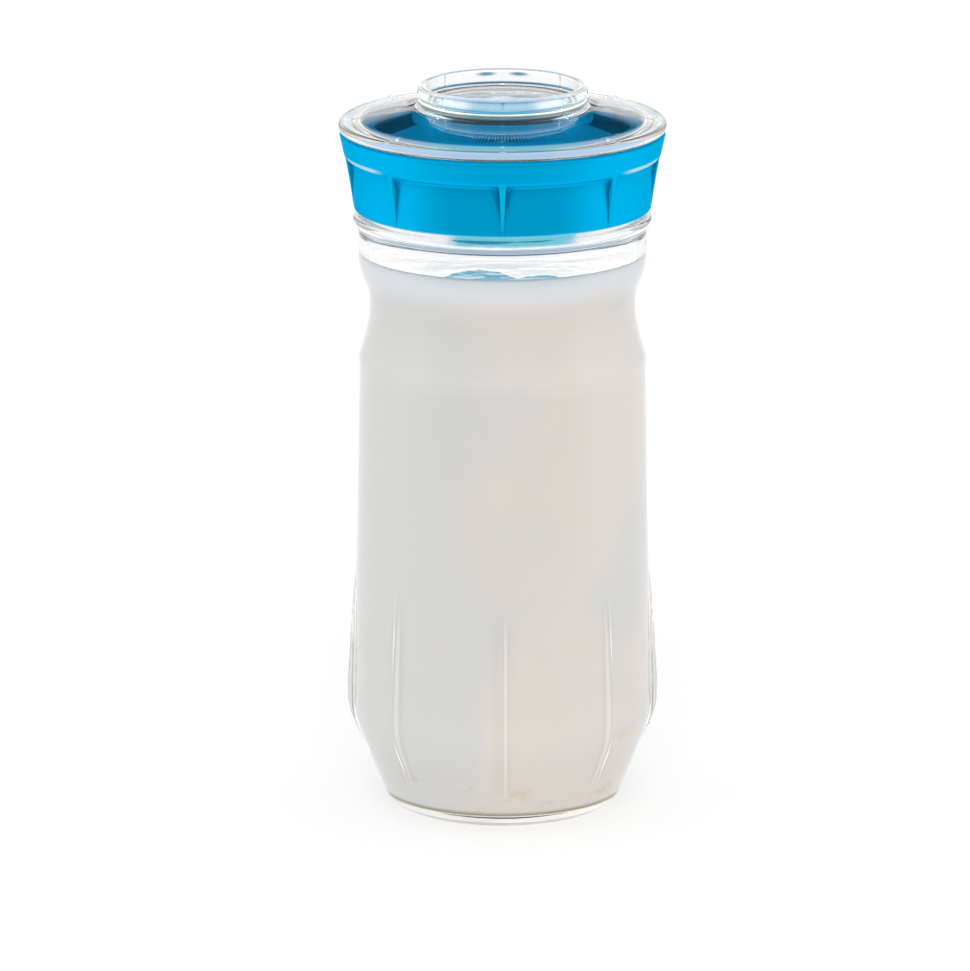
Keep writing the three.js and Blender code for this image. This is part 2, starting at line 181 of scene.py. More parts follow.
# %% [markdown]
# ## Sums on surfaces
# A finish is a small tree of nodes. To keep its sums readable, one class wraps a node's output and turns
# Python's operators into Math nodes, so that `1 - mask` means what it says. Any other node comes from its
# one method `node`.

# %% A class for shader sums
class Field:
    """A node's output that takes part in sums."""

    def __init__(self, tree, socket=None):
        self.tree = tree
        self.socket = socket

    def node(self, kind, settings=None, values=None, out=0):
        """A new node: its settings are set first, then the values or links of its sockets."""
        made = self.tree.nodes.new(kind)
        for key, value in (settings or {}).items():
            setattr(made, key, value)
        for key, value in (values or {}).items():
            if isinstance(value, Field):
                self.tree.links.new(value.socket, made.inputs[key])
            else:
                made.inputs[key].default_value = value
        return Field(self.tree, made.outputs[out] if made.outputs else None)

    def other(self, out):
        """Another output of the same node."""
        return Field(self.tree, self.socket.node.outputs[out])

    def sums(self, operation, *values):
        return self.node("ShaderNodeMath", {"operation": operation}, dict(enumerate(values)))

    def __add__(self, other):
        return self.sums("ADD", self, other)

    __radd__ = __add__

    def __sub__(self, other):
        return self.sums("SUBTRACT", self, other)

    def __rsub__(self, other):
        return self.sums("SUBTRACT", other, self)

    def __mul__(self, other):
        return self.sums("MULTIPLY", self, other)

    __rmul__ = __mul__

    def __truediv__(self, other):
        return self.sums("DIVIDE", self, other)

    def __rtruediv__(self, other):
        return self.sums("DIVIDE", other, self)

    def __pow__(self, other):
        return self.sums("POWER", self, other)

    def __abs__(self):
        return self.sums("ABSOLUTE", self)

    def most(self, other):
        """The larger of two fields."""
        return self.sums("MAXIMUM", self, other)

    def eased(self, start, end):
        """0 at start and 1 at end, with a soft curve between them."""
        return self.node(
            "ShaderNodeMapRange", {"interpolation_type": "SMOOTHSTEP"},
            {"Value": self, "From Min": start, "From Max": end},
        )

    def blend(self, first, second):
        """A colour that goes from first to second as this field goes from 0 to 1."""
        return self.node(
            "ShaderNodeMix", {"data_type": "RGBA"}, {0: self, 6: first, 7: second}, out=2,
        )


print("shader sums are ready")

# %% [markdown]
# Every finish here needs the same few things: an empty material, noise, the place of a point measured from
# the axis, its distance from the ribs, a bump, and a way out to the surface. Clear pieces also let lamps
# and soft light pass straight through, so that what they hold is lit without grain.

# %% Parts that the finishes share
def colour(red, green, blue):
    return (red, green, blue, 1)


BLACK = colour(0, 0, 0)
WHITE = colour(1, 1, 1)


def new_finish(name):
    """A new material, the start of its tree and the place of a point in metres."""
    material = bpy.data.materials.new(name)
    material.use_nodes = True
    material.node_tree.nodes.clear()
    start = Field(material.node_tree)
    place = start.node("ShaderNodeTexCoord", out="Object")
    return material, start, place


def grain(place, scale, detail=3, rough=0.55):
    """Cloudy noise with that many waves in a metre."""
    return place.node("ShaderNodeTexNoise", values={
        "Vector": place, "Scale": scale, "Detail": detail, "Roughness": rough,
    })


def polar(place):
    """Across, along, up and the distance from the axis of a point, all in millimetres."""
    axes = place.node("ShaderNodeSeparateXYZ", values={0: place})
    x, y, height = (axes.other(axis) / MM for axis in "XYZ")
    return x, y, height, (x * x + y * y) ** 0.5


def off_ribs(x, y, reach):
    """Sideways distance of a point from the nearest of the eight ribs, in millimetres."""
    turn = x.sums("ARCTAN2", y, x)
    wave = turn.sums("SINE", turn * (RIBS / 2))
    return reach * abs(wave) / (RIBS / 2)


def facing_away(start):
    """0 where a clear wall faces the eye and 1 where it is seen edge on."""
    return start.node("ShaderNodeLayerWeight", values={"Blend": 0.5}, out="Facing")


def bumps(height, strength, depth):
    """A normal from a height field, with a depth in metres."""
    return height.node(
        "ShaderNodeBump", values={"Height": height, "Strength": strength, "Distance": depth},
    )


def show(start, shader):
    """Join a shader to the surface of its material."""
    start.node("ShaderNodeOutputMaterial", values={"Surface": shader})


def letting_light_in(start, shader, tint):
    """Let lamps and soft light pass straight through a clear piece."""
    shadow = start.node("ShaderNodeLightPath", out="Is Shadow Ray")
    passing = shadow.most(shadow.other("Is Diffuse Ray"))
    clear = start.node("ShaderNodeBsdfTransparent", values={"Color": tint})
    return start.node("ShaderNodeMixShader", values={0: passing, 1: shader, 2: clear})


print("the finishes share", RIBS, "ribs and one way of measuring")

# %% [markdown]
# ## The glass
# The jar is one piece of pressed glass. Its levels and radii were measured on the photograph, in
# millimetres. They have names, because both its shape and its finish go by them.

# %% Levels and radii of the glass
FLOOR = 4.3
BELLY = 27.7
BELLY_RADIUS = 45.8
EDGE = 140.7
EDGE_RADIUS = 44.1
WAIST = 157.5
WAIST_RADIUS = 40.5
NECK_FOOT = 173.5
NECK_RADIUS = 43.9
BEAD_FOOT = 182.2
BEAD_TOP = 185.7
BEAD_RADIUS = 45.5
FINISH_RADIUS = 41.8
MOUTH_RADIUS = 38
GLASS_RIM = 203
RIB_FOOT = 9
RIB_PEAK = 35
RIB_TOP = 74
print("the rim of the glass lies at", GLASS_RIM, "mm")

# %% [markdown]
# Pressed soda-lime glass is never quite even: the surface rolls gently, which makes what lies behind it
# swim a little, and handling leaves a faint haze. A low bump gives the roll and a little roughness the
# haze. The rest is painted: the flanks of the ribs, their outline at the sides and the bead under the lid
# glow with painted light, as thick edges that gather light do, the glass beside the ribs and at the foot
# is greyed with painted shade, and the glass under the lid holds a painted reflection of the blue
# plastic. A true studio would give these by itself; painted masks in the finish are steadier.

# %% Finish of the glass
def pressed_glass():
    material, start, place = new_finish("pressed_glass")
    roll = grain(place, 55, 2) + grain(place, 160, 1) * 0.25
    haze = grain(place, 240, 4).eased(0.5, 0.8)
    x, y, height, reach = polar(place)

    # painted shade beside the crests of the ribs, and painted highlights on their flanks and outline
    off = off_ribs(x, y, reach)
    outside = (reach + (height - BELLY).most(0) * 0.02).eased(37, 38)
    ribbed = height.eased(10, 16) * height.eased(RIB_TOP, 60) * outside
    painted_rib_shade = off.eased(4, 1) * ribbed * 0.6
    painted_flank_highlight = off.eased(0.3, 0.7) * off.eased(1.6, 1.1) * ribbed
    painted_flank_highlight = painted_flank_highlight * x.eased(-4, -5).most(x.eased(-0.3, 0.3))
    facing = facing_away(start)
    painted_outline_glow = off.eased(3.5, 2) * ribbed * facing.eased(0.7, 0.85) * facing.eased(1, 0.97)

    # painted glow in the bead, and painted shade at the foot
    painted_bead_glow = height.eased(BEAD_FOOT - 0.5, BEAD_FOOT + 0.2) * height.eased(BEAD_TOP - 1.1, BEAD_TOP - 2.1)
    painted_bead_glow = painted_bead_glow * reach.eased(NECK_RADIUS + 0.05, NECK_RADIUS + 0.5)
    painted_foot_shade = height.eased(2.5, 2) * reach.eased(32, 33)
    # painted light: the flanks, the outline and the bead glow
    light = (painted_flank_highlight * 0.2).most(painted_outline_glow).most(painted_bead_glow * 0.7)

    # painted reflection of the lid in the glass under it
    painted_lid_reflection = ((x - 4) * (x - 4) + grain(place, 110, 3) * 500).eased(780, 480) * y.eased(5, -5)
    painted_lid_reflection = painted_lid_reflection * height.eased(BEAD_TOP - 2.1, BEAD_TOP - 1.1 + grain(place, 200, 2))
    painted_lid_reflection = painted_lid_reflection * height.eased(BEAD_TOP + 2.3, BEAD_TOP + 1.3)
    painted_lid_reflection = painted_lid_reflection * reach.eased(FINISH_RADIUS - 0.9, FINISH_RADIUS - 0.6)

    body = haze.blend(colour(0.985, 0.995, 0.992), colour(0.96, 0.975, 0.972))
    body = painted_rib_shade.blend(body, colour(0.8, 0.79, 0.78))
    body = painted_foot_shade.blend(body, colour(0.4, 0.41, 0.39))
    shader = start.node("ShaderNodeBsdfPrincipled", values={
        "Base Color": painted_lid_reflection.blend(body, colour(0.04, 0.45, 0.6)),
        "Emission Color": light.blend(BLACK, WHITE),
        "Emission Strength": 0.5,
        "Roughness": haze * 0.015,
        "IOR": 1.51,
        "Transmission Weight": 1.0,
        "Normal": bumps(roll, 0.1, 0.0012),
    })
    show(start, letting_light_in(start, shader, colour(0.97, 0.98, 0.98)))
    print("made the finish", material.name)
    return material


# %% [markdown]
# The wire runs from the middle of the raised underside over the foot ring, heel, cone, belly, soft edge,
# waist, neck, bead and screw finish to the rim, and back down the inside to the floor. The shoulder and
# the neck are S-curves, so they come from two Bezier curves; the wall keeps its thickness, so the inside
# is the same line drawn in.

# %% Wire of the glass
WALL = 3.2
FLOOR_CORNER = 33.9
FLOOR_ROUND = 4.2
CURVE_POINTS = 15
THIRD = (WAIST - EDGE) / 3
BEND = (WAIST + NECK_FOOT) / 2
SHOULDER = interpolate_bezier(
    (EDGE_RADIUS, 0, EDGE), (EDGE_RADIUS - 1.8, 0, EDGE + THIRD),
    (WAIST_RADIUS, 0, WAIST - THIRD), (WAIST_RADIUS, 0, WAIST), CURVE_POINTS)
NECK = interpolate_bezier(
    (WAIST_RADIUS, 0, WAIST), (WAIST_RADIUS, 0, BEND),
    (NECK_RADIUS, 0, BEND), (NECK_RADIUS, 0, NECK_FOOT), CURVE_POINTS)


def barrel(wall):
    """Corners of the glass from the belly to the neck, drawn in by a wall."""
    corners = [
        (BELLY_RADIUS - wall, BELLY, 4.2), (EDGE_RADIUS - 0.4 - wall, EDGE - 3, 1.4),
        (EDGE_RADIUS - wall, EDGE, 1.8),
    ]
    corners += [(point.x - wall, point.z) for point in SHOULDER[2:] + NECK[1:]]
    return corners


jar = wire(
    (0, 2.2), (21, 2.2, 1.6), (25, 0, 1), (34.86, 0, 4.6), *barrel(0),
    (NECK_RADIUS, BEAD_FOOT, 0.7), (BEAD_RADIUS, BEAD_FOOT, 1.5),
    (BEAD_RADIUS, BEAD_TOP, 1.9), (FINISH_RADIUS, BEAD_TOP, 0.8),
    (FINISH_RADIUS, GLASS_RIM, 1.2), (MOUTH_RADIUS, GLASS_RIM, 1.2),
    (MOUTH_RADIUS, BEAD_TOP, 2.5), (NECK_RADIUS - WALL, 181.1, 2.5),
    *reversed(barrel(WALL)), (FLOOR_CORNER, FLOOR, FLOOR_ROUND), (0, FLOOR),
)
print("the wire of the glass has", len(jar.verts), "points")

# %% [markdown]
# The wire is cut finely where ribs and threads will need points, and coarsely elsewhere, and then spun.

# %% Spin the glass
rows(jar, 1.6, (43.5, 26), (46, 70))
rows(jar, 1.6, (35, 4), (46, 27))
rows(jar, 0.7, (41, 185), (43, 204))
rows(jar, 7)
turned(jar, 44, 0.85)
print("the glass has", len(jar.verts), "points")

# %% [markdown]
# Each rib is a narrow crest that runs out into the wall in a hollow curve. It stands highest a little above
# the belly and fades both ways. Moving the points of the fine grid outwards by a formula gives that in one
# step; a separate rib would leave a seam in the glass, and seams in glass show.

# %% Ribs of the glass
RIB_HEIGHT = 2.3
RIB_HALF = 1.25


def rib_swell(height):
    """Share of the rib's height that is left at a level."""
    if height > RIB_PEAK:
        return max(0, 1 - (height - RIB_PEAK) / (RIB_TOP - RIB_PEAK)) ** 0.65
    return max(0, 1 - (RIB_PEAK - height) / (RIB_PEAK - RIB_FOOT)) ** 1.2


jar.normal_update()
for vert in jar.verts:
    if RIB_FOOT < vert.co.z < RIB_TOP and outwards(vert) > 0.3:
        section = (1 + (off_rib(vert.co) / RIB_HALF) ** 2) ** -1.6
        widen(vert, RIB_HEIGHT * rib_swell(vert.co.z) * section)
print("ribs stand", RIB_HEIGHT, "mm out of the belly")

# %% [markdown]
# The lid screws on to the glass by a right-handed thread. A thread is a ridge that climbs by its lead with
# each turn, so a point of the wall is moved by how near it lies to that climbing line. The thread on the
# glass and the one in the lid follow the same lead, one just under the other, and so they never meet while
# the lid turns and rises.

# %% Threads
LID_LEAD = 11
THREAD_FADE = 0.1


def wind_thread(bm, root, height, start, turns, lead, half):
    """Raise a thread on the wall of radius root, from a level at the right-hand side upwards."""
    for vert in bm.verts:
        if abs(radius_of(vert.co) - root) > 0.05:
            continue
        turn = math.atan2(vert.co.y, vert.co.x) / math.tau
        ridge = 0.0
        for whole in range(4):
            along = turn + whole
            off = abs(vert.co.z - start - lead * along) / half
            ends = ease(0, THREAD_FADE, along) * ease(turns, turns - THREAD_FADE, along)
            ridge = max(ridge, ends * ease(1, 0.3, off))
        widen(vert, height * ridge)


wind_thread(jar, FINISH_RADIUS, 1.1, 189.2, 0.95, LID_LEAD, 1.7)
finished(jar, "pressed_glass_jar", "jar", "glass_jar", pressed_glass())

# %% [markdown]
# ## The kefir
# Kefir is thick and milky. Light soaks into it and comes out again further on, which is why hardly any
# shading shows: the finish does that with subsurface scattering. Fat and whey part a little and leave warm
# and cool patches, and grains and flecks settle near the floor. A dark olive line round the lower corner is
# painted shade, for the dark that the heel of the glass bends into view, and the bottom glows with painted
# light, for the white table that shines into it through the foot of the glass.

# %% Finish of the kefir
# each smudge has a place across, a level, a size and a depth of colour
SMUDGES = [
    (5, 12, 3, 0.4), (-6, 6.6, 1.6, 0.35), (-11, 13.5, 1.2, 0.3), (-26, 15, 1.6, 0.35),
    (36, 28, 2.6, 0.22), (29, 9, 2.6, 0.4), (13, 8, 1.6, 0.3),
]


def milky_kefir():
    material, start, place = new_finish("milky_kefir")
    x, y, height, reach = polar(place)
    spread = (x - 13) * (x - 13) * 0.0004
    warm = (grain(place, 20, 3, 0.5) * 1.8 - 0.2 - spread).eased(0.34, 0.64)
    body = warm.blend(colour(0.7, 0.686, 0.678), colour(0.758, 0.7, 0.66))
    film = height.eased(160, 173)
    body = film.blend(body, colour(0.755, 0.77, 0.785))

    # smudges with ragged edges, flecks, and a line of painted shade round the lower corner
    wobble = (grain(place, 420, 4, 0.7) - 0.5) * 9
    for across, level, size, depth in SMUDGES:
        aside = (x - across) / 1.6 + wobble
        above = height - level + wobble
        away = (aside * aside + above * above) ** 0.5
        smudge = away.eased(size, 0) * depth * y.eased(5, -5)
        body = smudge.blend(body, colour(0.58, 0.45, 0.18))
    low = height.eased(30, 8)
    dots = grain(place, 420, 1).eased(0.72, 0.77) * grain(place, 60, 2).eased(0.5, 0.6) * low
    body = (dots * 0.6).blend(body, colour(0.3, 0.29, 0.26))
    # painted shade: a dark olive line round the lower corner of the fill
    corner = height.eased(6.2, 4.8) * reach.eased(29.5, 32)
    body = (corner * 0.85).blend(body, colour(0.26, 0.22, 0.1))

    # painted light: the bottom glows as if the table lit it through the foot of the glass
    painted_bottom_glow = height.eased(FLOOR + 0.5, FLOOR + 0.1) * (0.4 + grain(place, 90, 3))
    shader = start.node("ShaderNodeBsdfPrincipled", values={
        "Base Color": body,
        "Roughness": 0.6,
        "Specular IOR Level": 0.0,
        "Subsurface Weight": 0.8,
        "Subsurface Radius": (1.0, 0.95, 0.9),
        "Subsurface Scale": 0.02,
        "Emission Color": painted_bottom_glow.blend(BLACK, colour(1, 0.99, 0.97)),
        "Emission Strength": 0.45,
        "Normal": bumps(grain(place, 120, 2), 0.1, 0.001),
    })
    show(start, shader)
    print("made the finish", material.name, "with", len(SMUDGES), "smudges")
    return material


# %% [markdown]
# Its top is wet and wavy. Seen at a low angle it mirrors the inside of the blue lid near the front of the
# neck, as two low hills, and the bright wall behind the jar further back. True mirroring would be lost in
# the waves, so the finish paints both images. A few bubbles lie on it.

# %% Finish of the kefir's top
def wet_kefir():
    material, start, place = new_finish("wet_kefir")
    x, y = polar(place)[:2]
    waves = grain(place, 70, 2) + grain(place, 260, 2) * 0.2
    left = 1 - (x + 7) * (x + 7) / 180
    right = 0.55 - (x - 12) * (x - 12) / 220
    shore = 40.5 - left.most(right).most(0) * 18 - (grain(place, 130, 3) - 0.5) * 9
    painted_lid_hills = (0 - y - shore).eased(-0.6, 0.6)
    bubbles = grain(place, 300, 1).eased(0.68, 0.75)
    # painted reflections: the top glows pale for the bright wall behind the jar, and the dark teal hills
    # stand for the lid
    body = grain(place, 40, 3).blend(colour(0.93, 0.86, 0.82), colour(0.98, 0.92, 0.88))
    body = (painted_lid_hills * 0.92).blend(body, colour(0.06, 0.34, 0.46))
    shader = start.node("ShaderNodeBsdfPrincipled", values={
        "Base Color": (bubbles * 0.4).blend(body, colour(0.45, 0.47, 0.47)),
        "Roughness": 0.06 + bubbles * 0.2,
        "IOR": 1.36,
        "Emission Color": body,
        "Emission Strength": 0.7,
        "Normal": bumps(waves, 0.6, 0.006),
    })
    show(start, shader)
    print("made the finish", material.name)
    return material


# %% [markdown]
# The fill takes the inside of the glass, a hair wider, so that the camera sees the milk straight behind the
# glass and not a film of air. At the top it creeps up the wall, and the faces that look up get the wet
# finish.

# %% The fill
HAIR = 0.05
LEVEL = 172.9
WET_ABOVE = 0.17
fill = wire(
    (0, FLOOR - HAIR), (FLOOR_CORNER + HAIR, FLOOR - HAIR, FLOOR_ROUND), *barrel(WALL - HAIR),
    (NECK_RADIUS - WALL + HAIR, LEVEL + 1), (39.9, LEVEL, 0.9), (0, LEVEL),
)
rows(fill, 3)
kefir = finished(turned(fill, 24), "kefir_fill", "jar", "kefir", milky_kefir())
kefir.data.materials.append(wet_kefir())
for face in kefir.data.polygons:
    face.material_index = int(face.normal.z > 0.3 and face.center.z > WET_ABOVE)

# %% [markdown]
# ## The seals
# Each lid closes on a flat silicone ring. Silicone is soft and cloudy, and it takes dust, so its finish is
# matt with a mottle. A closed wire with rounded corners makes the ring.

# %% Finish of the silicone
def soft_silicone():
    material, start, place = new_finish("soft_silicone")
    mottle = grain(place, 350, 4)
    shader = start.node("ShaderNodeBsdfPrincipled", values={
        "Base Color": mottle.blend(colour(0.74, 0.77, 0.79), colour(0.84, 0.86, 0.87)),
        "Roughness": 0.5 + mottle * 0.2,
        "Normal": bumps(grain(place, 2500, 2), 0.15, 0.0002),
    })
    show(start, shader)
    print("made the finish", material.name)
    return material


# %% [markdown]
# One ring lies on the rim of the glass, the other in the channel of the lid. They differ in size only, so
# one helper makes both.

# %% Seals
def flat_ring(inside, outside, low, high, rounding):
    """A spun ring of rectangular section with rounded corners."""
    section = wire(
        (inside, low, rounding), (outside, low, rounding),
        (outside, high, rounding), (inside, high, rounding), closed=True,
    )
    return turned(section, 24)


silicone = soft_silicone()
ring = flat_ring(39.6, 43, 203.3, 204.9, 0.5)
finished(ring, "jar_seal_ring", "lid_seal", "jar_seal", silicone)
ring = flat_ring(43.5, 45.7, 207.7, 209, 0.4)
finished(ring, "cover_seal_ring", "cover_ring", "cover_seal", silicone)

# %% [markdown]
# ## The blue lid
# The lid is one moulding: a skirt that screws on to the glass, a flared band on eight gussets, and the
# strainer. Again the levels that both shape and finish go by get their names first.

# %% Levels and radii of the lid
SKIRT_FOOT = 187.3
SKIRT_RADIUS = 45.3
BAND_FOOT = 203.25
BAND_TOP = 211
GUSSET_FOOT = 188.3
GUSSET_TOP = 206.8
print("the lid reaches from", SKIRT_FOOT, "to", BAND_TOP, "mm without its dome")

# %% [markdown]
# Glossy moulded plastic has a very fine grain and a slight unevenness of its shine. The grain is far too
# fine to model, so the finish carries it as a bump. A share of metal with a blue edge tint keeps the gloss
# blue, as the strong pigment does. The roots of the gussets and the underside of the strainer are painted
# darker, as painted shade where little light reaches them, the crest of the front gusset gets a painted
# highlight, and the lower edges catch a pale painted glint.

# %% Finish of the blue plastic
def blue_moulding():
    material, start, place = new_finish("blue_moulding")
    cloud = grain(place, 28, 3)
    fine = grain(place, 1800, 2)
    x, y, height, reach = polar(place)
    body = cloud.blend(colour(0.0, 0.46, 0.84), colour(0.0, 0.49, 0.89))

    # painted highlight on the crest of the front gusset,
    # painted shade beside every gusset and under the strainer
    climb = ((height - GUSSET_FOOT) / (GUSSET_TOP - GUSSET_FOOT)).most(0)
    aside = off_ribs(x, y, reach) - 0.3 - climb * 0.75
    front = (x * x).eased(200, 50)
    skirt = reach.eased(SKIRT_RADIUS - 0.2, SKIRT_RADIUS - 0.05) * height.eased(205, 201.5)
    crest = aside.eased(0.1, -0.2) * skirt * climb.eased(0, 0.3) * front
    body = crest.blend(body, colour(0.0, 0.66, 1.0))
    painted_root_shade = aside.eased(0, 0.25) * (aside / (0.45 + climb * climb * (2.4 + front * 3))).eased(1, 0)
    painted_underside_shade = (height + (reach * 0.2437).most(6.34)).eased(220.7, 219.7) * reach.eased(43.4, 42.8)
    body = painted_underside_shade.most(painted_root_shade * skirt * 0.95).blend(body, colour(0.0, 0.14, 0.3))

    # painted glints along the foot of the skirt and under the band at the sides
    painted_skirt_glint = height.eased(SKIRT_FOOT + 0.5, SKIRT_FOOT + 0.2) * reach.eased(44.4, 44.8)
    sides = (x * x).eased(1250, 1600) * (y * y).eased(64, 196)
    painted_band_glint = height.eased(203.1, 203.5) * height.eased(205.2, 204.5) * reach.eased(46.2, 46.8)
    painted_glints = (painted_skirt_glint * 0.7).most(painted_band_glint * sides * 0.75)
    shader = start.node("ShaderNodeBsdfPrincipled", values={
        "Base Color": painted_glints.blend(body, colour(0.75, 0.93, 1.0)),
        "Metallic": 0.41,
        "Roughness": 0.26 + fine * 0.08,
        "Specular IOR Level": 0.0,
        "Specular Tint": colour(0.0, 0.6, 0.62),
        "Normal": bumps(fine, 0.06, 0.0002),
    })
    show(start, shader)
    print("made the finish", material.name)
    return material


# %% [markdown]
# The collar is a closed ring in section: skirt, shoulder, flared band, the channel for the cover, the seat
# of the strainer and the land that presses on the seal.

# %% Collar of the lid
collar = wire(
    (43.3, SKIRT_FOOT, 0.5), (SKIRT_RADIUS, SKIRT_FOOT, 0.9), (SKIRT_RADIUS, BAND_FOOT, 1.3),
    (48, BAND_FOOT, 1.3), (49.7, BAND_TOP, 1.2), (47.4, BAND_TOP, 0.5), (46, 207.4, 0.6), (43, 207.4, 0.6),
    (43, 210.6, 0.6), (39.6, 211.43), (39.6, 205.2, 0.4), (43.3, 205.2, 0.4), closed=True,
)
rows(collar, 0.7, (43, 186), (51, 211))
rows(collar, 2)
turned(collar, 64, 0.85)
print("the collar has", len(collar.verts), "points")

# %% [markdown]
# Eight gussets stiffen the flared band. Each is thin at the foot of the skirt, grows as it climbs and
# spreads under the band in soft fillets, like the branches of a Y. Its edge is a hollow line, so the
# formula moves every point of the wall towards that line, fully at the middle of the rib and less towards
# the ends of its fillets.

# %% Gussets of the lid
GUSSET_FOOT_RADIUS = 45.5
GUSSET_TOP_RADIUS = 48.55


def gusset_reach(vert):
    """How far a gusset stands out of the wall at a vertex."""
    height = vert.co.z
    climb = max(0.0, (height - GUSSET_FOOT) / (GUSSET_TOP - GUSSET_FOOT))
    edge = GUSSET_FOOT_RADIUS + climb ** 1.2 * (GUSSET_TOP_RADIUS - GUSSET_FOOT_RADIUS)
    stand = max(0.0, edge - radius_of(vert.co))
    crest = 0.25 + 0.6 * climb
    flank = 0.5 + 0.4 * climb + 2.2 * ease(198.5, 204.5, height)
    across = min(1.0, max(0.0, 1 - (off_rib(vert.co) - crest) / flank))
    return stand * across * across * ease(187.5, 190, height)


collar.normal_update()
for vert in collar.verts:
    if 187.5 < vert.co.z < 210.6 and radius_of(vert.co) > 44.8 and outwards(vert) > -0.2:
        widen(vert, gusset_reach(vert))
wind_thread(collar, 43.3, -1.15, 185.7, 1.45, LID_LEAD, 1.6)
blue = blue_moulding()
finished(collar, "lid_collar", "lid", "strainer_lid", blue)

# %% [markdown]
# The strainer is a low dome in the middle of the same moulding. Two combs of fine slots, at the front and
# the back, let kefir out and hold the grains back, and a wide window is open on either side. It starts as
# a spun sheet whose columns are as wide as a bar of the comb, with a boss in the middle whose wall is
# fluted by moving its points in and out.

# %% Sheet of the strainer
DOME_COLUMNS = 50
COLUMN = SECTOR / DOME_COLUMNS
FLUTES = 56
FLUTE_DEPTH = 0.5
dome = wire(
    (39.7, 211.4), (38.8, 211.62), (34, 212.79), (28, 214.25), (27.5, 214.37), (26, 214.74, 1.2),
    (9.3, 214.74, 0.5), (8.8, 217.9, 0.5), (7, 217.9, 0.4), (6.4, 217.2, 0.4), (0, 217.2),
)
rows(dome, 1.4)
turned(dome, DOME_COLUMNS)
for vert in dome.verts:
    if 8.2 < radius_of(vert.co) < 10 and vert.co.z > 214.8:
        turn = math.atan2(vert.co.y, vert.co.x)
        widen(vert, FLUTE_DEPTH / 2 * (math.cos(FLUTES * turn) - 1))
print("the boss has", FLUTES, "flutes")

# %% [markdown]
# Every second column of a comb is taken out, then the windows, and only then does the sheet get its
# thickness, so that all the openings get their walls in one go.

# %% Openings and wall of the strainer
DOME_WALL = 2.2
COMB_HALF = 39
SLOT_INSIDE, SLOT_OUTSIDE = 28, 34
WINDOW_EDGE = 63
WINDOW_INSIDE, WINDOW_OUTSIDE = 27.5, 38.8


def opening(face):
    """True where the strainer is open."""
    middle = face.calc_center_median()
    radius = radius_of(middle)
    turn = math.atan2(middle.y, middle.x)
    off_comb = abs(abs(math.degrees(turn)) - 90)
    between_bars = math.floor(turn / COLUMN) % 2 == 0
    slot = off_comb < COMB_HALF and SLOT_INSIDE < radius < SLOT_OUTSIDE and between_bars
    window = off_comb > WINDOW_EDGE and WINDOW_INSIDE < radius < WINDOW_OUTSIDE
    return slot or window


bmesh.ops.delete(dome, geom=[face for face in dome.faces if opening(face)], context="FACES")
bmesh.ops.recalc_face_normals(dome, faces=dome.faces)
top = sum(face.normal.z * face.calc_area() for face in dome.faces)
bmesh.ops.solidify(dome, geom=dome.faces[:], thickness=math.copysign(DOME_WALL, top))
finished(dome, "strainer_dome", "lid", "strainer_lid", blue)

# %% [markdown]
# ## The clear cover
# The cover is a clear moulding: a rim that lies on the lid, a short skirt, a sloping deck and a shallow cup
# for measuring. These are its levels and radii.

# %% Levels and radii of the cover
RIM_FOOT = 211.3
RIM_TOP = 214.5
RIM_RADIUS = 49.9
CUP_RADIUS = 25.6
CUP_INSIDE = 23.4
CUP_FOOT = 219.23
CUP_FLOOR = 220.5
CUP_TOP = 225.4
print("the cup is", round(CUP_TOP - CUP_FLOOR, 1), "mm deep")

# %% [markdown]
# Clear plastic bends light a little more than glass does. As on the glass, the light that its thick edges
# gather is painted: the rim, the shelf beside it, the wall, lip and floor of the cup glow with painted
# light. The foot of the cup and the lower edge of the rim get painted shade, for something dark that they
# bend into view, and the far wall of the cup holds two painted reflections of the lid. Masks in the finish
# stand for these.

